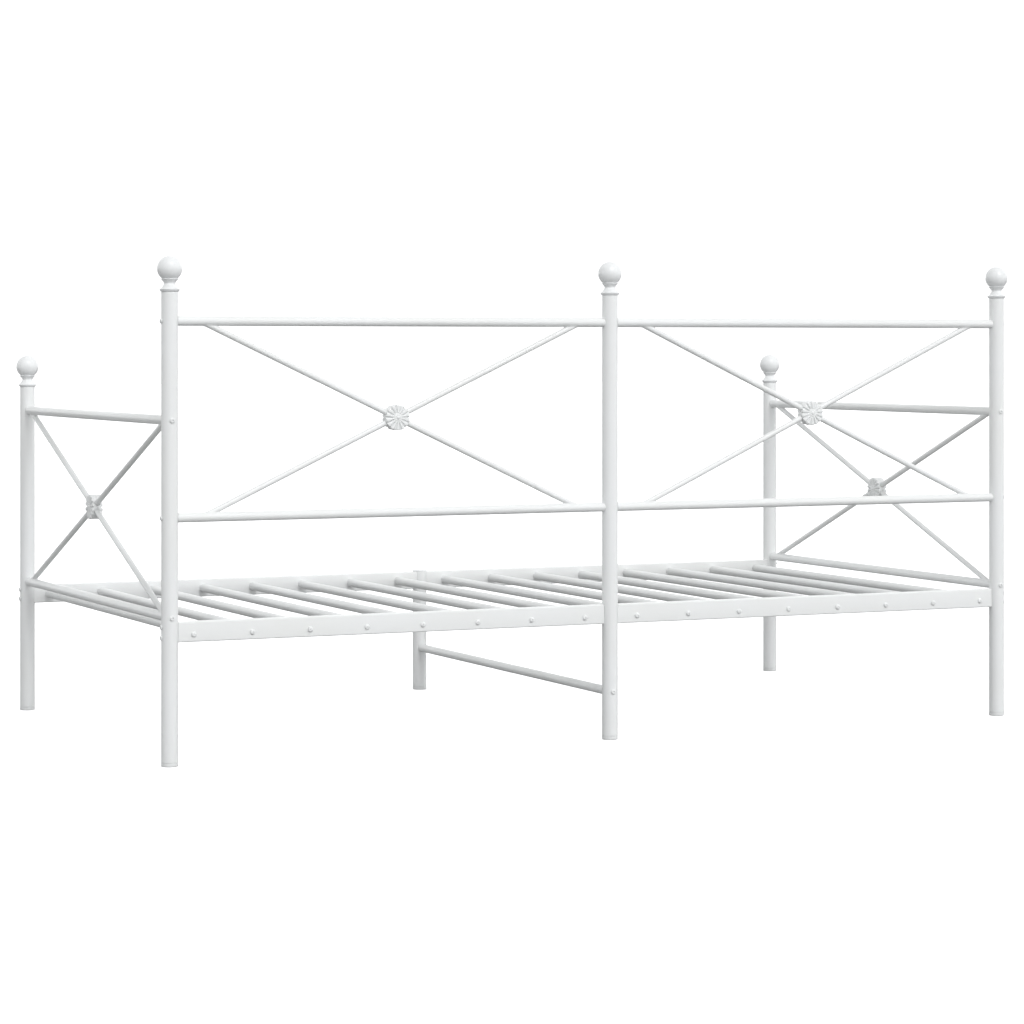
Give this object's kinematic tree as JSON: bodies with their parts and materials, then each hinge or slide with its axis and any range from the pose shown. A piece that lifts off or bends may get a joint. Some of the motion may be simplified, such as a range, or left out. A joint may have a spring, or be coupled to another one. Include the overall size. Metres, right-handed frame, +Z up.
{
  "type": "daybed",
  "caption": "Single steel daybed with crossed-bar back and arms, ball-topped posts, a round-tube slat base and a low centre stretcher under an open bed space.",
  "frame": {"origin": "on the floor under the middle of the bed's bounding box", "axes": "+X along the bed's length, +Y towards the high back, +Z up; left (-X) and right (+X) are seen from the open front"},
  "size_m": [2.0982, 1.1242, 1.0594],
  "materials": {
    "post_steel": "satin white powder coat",
    "rail_steel": "satin white powder coat",
    "slat_steel": "satin white powder coat",
    "bar_steel": "satin white powder coat",
    "rosette_casting": "satin white powder coat over a casting",
    "finial_plastic": "smooth white paint",
    "foot_plastic": "matt white moulded plastic"
  },
  "bodies": {
    "root": {"arm_left_bar_falling": "bar_steel", "arm_left_bar_rising": "bar_steel", "arm_left_rosette": "rosette_casting", "arm_lower_rail_left": "rail_steel", "arm_lower_rail_right": "rail_steel", "arm_right_bar_falling": "bar_steel", "arm_right_bar_rising": "bar_steel", "arm_right_rosette": "rosette_casting", "arm_top_rail_left": "rail_steel", "arm_top_rail_right": "rail_steel", "back_left_bar_falling": "bar_steel", "back_left_bar_rising": "bar_steel", "back_left_rosette": "rosette_casting", "back_lower_rail_left": "rail_steel", "back_lower_rail_right": "rail_steel", "back_post_center": "post_steel", "back_post_left": "post_steel", "back_post_right": "post_steel", "back_right_bar_falling": "bar_steel", "back_right_bar_rising": "bar_steel", "back_right_rosette": "rosette_casting", "back_side_rail_left": "rail_steel", "back_side_rail_right": "rail_steel", "back_top_rail_left": "rail_steel", "back_top_rail_right": "rail_steel", "center_stretcher": "rail_steel", "finial_back_post_center": "finial_plastic", "finial_back_post_left": "finial_plastic", "finial_back_post_right": "finial_plastic", "finial_front_post_left": "finial_plastic", "finial_front_post_right": "finial_plastic", "foot_plug_back_post_center": "foot_plastic", "foot_plug_back_post_left": "foot_plastic", "foot_plug_back_post_right": "foot_plastic", "foot_plug_front_center_leg": "foot_plastic", "foot_plug_front_post_left": "foot_plastic", "foot_plug_front_post_right": "foot_plastic", "front_center_leg": "post_steel", "front_center_leg_cap": "foot_plastic", "front_post_left": "post_steel", "front_post_right": "post_steel", "front_side_rail_left": "rail_steel", "front_side_rail_right": "rail_steel", "slat_01": "slat_steel", "slat_02": "slat_steel", "slat_03": "slat_steel", "slat_04": "slat_steel", "slat_05": "slat_steel", "slat_06": "slat_steel", "slat_07": "slat_steel", "slat_08": "slat_steel", "slat_09": "slat_steel", "slat_10": "slat_steel", "slat_11": "slat_steel", "slat_12": "slat_steel", "slat_13": "slat_steel", "slat_14": "slat_steel", "slat_15": "slat_steel", "slat_16": "slat_steel"}
  },
  "joints": []
}
